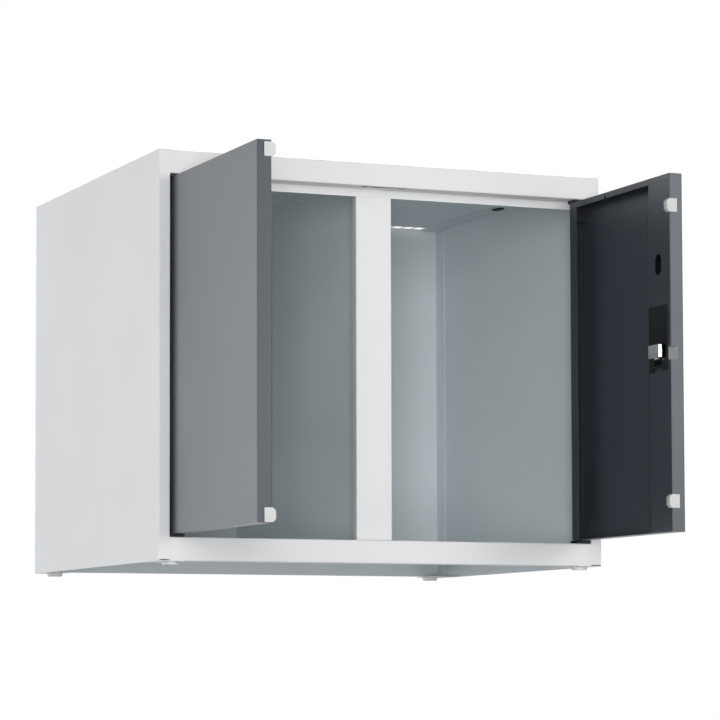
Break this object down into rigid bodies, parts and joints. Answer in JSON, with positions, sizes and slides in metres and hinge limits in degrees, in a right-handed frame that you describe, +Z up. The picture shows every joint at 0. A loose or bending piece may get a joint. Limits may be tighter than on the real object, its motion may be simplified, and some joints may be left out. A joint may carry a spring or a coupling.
{
  "type": "locker top cabinet",
  "caption": "Folded sheet-steel cabinet that stands on a locker, with hinged doors, a centre post, a partition and a key-turned bolt lock.",
  "frame": {"origin": "middle of the cabinet's footprint, without the doors, on the soles of the glides", "axes": "+X to the right seen from the front, +Y from the front to the back, +Z up"},
  "size_m": [0.6, 0.7841, 0.504],
  "materials": {
    "body_paint": "light grey powder coat, fine texture, satin",
    "door_paint": "anthracite powder coat, fine texture, satin",
    "black_plastic": "moulded, matt",
    "glide_plastic": "moulded, pale grey, matt",
    "white_plastic": "moulded, soft, matt",
    "plain_steel": "zinc plated, dull",
    "chrome": "bright"
  },
  "bodies": {
    "cabinet": {"left_side_panel": "body_paint", "right_side_panel": "body_paint", "top_panel": "body_paint", "floor_panel": "body_paint", "back_panel": "body_paint", "centre_partition": "body_paint", "centre_post": "body_paint", "tie_slot_plugs": "black_plastic", "left_upper_bush": "black_plastic", "left_lower_bush": "black_plastic", "right_upper_bush": "black_plastic", "right_lower_bush": "black_plastic", "foot_glides": "glide_plastic"},
    "left_door": {"left_door_pan": "door_paint", "left_hinge_pins": "plain_steel", "left_pivot_blocks": "black_plastic", "left_door_buffers": "white_plastic"},
    "right_door": {"right_door_pan": "door_paint", "right_hinge_pins": "plain_steel", "right_pivot_blocks": "black_plastic", "right_door_buffers": "white_plastic", "lock_housing": "black_plastic", "lock_cylinder": "chrome", "lock_nut": "plain_steel"},
    "key_plug": {"lock_plug": "chrome", "lock_cam": "plain_steel", "cam_screw": "plain_steel"},
    "bolt": {"lock_bolt": "chrome"}
  },
  "joints": [
    {"name": "left_door_hinge", "type": "hinge", "parent": "cabinet", "child": "left_door", "pos_m": [-0.2765, -0.2415, 0.254], "axis": [0, 0, 1], "range_deg": [-10, 90]},
    {"name": "right_door_hinge", "type": "hinge", "parent": "cabinet", "child": "right_door", "pos_m": [0.2765, -0.2415, 0.254], "axis": [0, 0, -1], "range_deg": [-10, 90]},
    {"name": "plug_turn", "type": "hinge", "parent": "right_door", "child": "key_plug", "pos_m": [0.2825, -0.4685, 0.29], "axis": [-1, 0, 0], "range_deg": [0, 90]},
    {"name": "bolt_slide", "type": "slide", "parent": "right_door", "child": "bolt", "axis": [0, -1, 0], "range_m": [0, 0.019]}
  ],
  "couplings": [
    {"joint": "plug_turn", "follows": "bolt_slide", "rad_per_m": 82.673}
  ]
}
